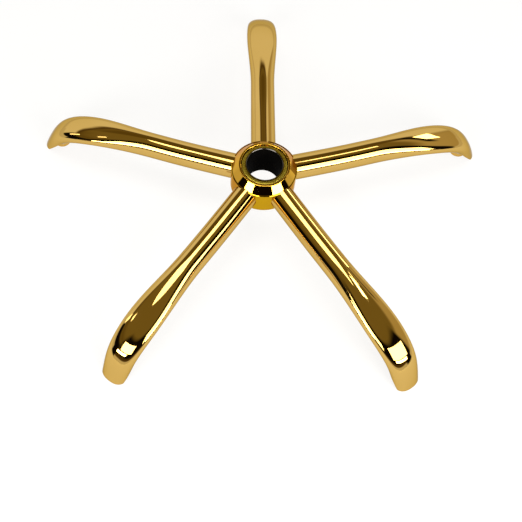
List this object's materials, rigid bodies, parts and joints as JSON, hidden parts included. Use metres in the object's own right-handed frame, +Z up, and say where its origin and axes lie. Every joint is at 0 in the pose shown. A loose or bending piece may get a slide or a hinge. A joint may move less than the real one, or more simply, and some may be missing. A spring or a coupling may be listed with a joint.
{
  "type": "office chair five star base",
  "caption": "Five star swivel chair base: formed steel tube legs with bent spoon ends round a conical hub, tapered column bore and caster stem sockets.",
  "frame": {"origin": "centre of the hub's round mouth, in the plane of its top rim, where the gas lift column enters", "axes": "+Z up along the hub axis; +Y along the first leg; the other legs follow every 72 degrees"},
  "size_m": [0.661, 0.6307, 0.107],
  "materials": {
    "gold_leg": "mirror gold plating on steel",
    "gold_hub": "mirror gold plating on steel",
    "gold_core": "satin gold plating on steel",
    "gold_socket": "gold plating on steel, less polished",
    "black_steel": "black oxide"
  },
  "bodies": {
    "root": {"taper_sleeve": "black_steel", "hub_core": "gold_core", "cap_ring": "gold_hub", "hub_barrel": "gold_hub", "bottom_ring": "gold_hub", "leg_1": "gold_leg", "leg_2": "gold_leg", "leg_3": "gold_leg", "leg_4": "gold_leg", "leg_5": "gold_leg", "caster_socket_1": "gold_socket", "caster_socket_2": "gold_socket", "caster_socket_3": "gold_socket", "caster_socket_4": "gold_socket", "caster_socket_5": "gold_socket", "socket_web_1": "gold_socket", "socket_web_2": "gold_socket", "socket_web_3": "gold_socket", "socket_web_4": "gold_socket", "socket_web_5": "gold_socket"}
  },
  "joints": []
}
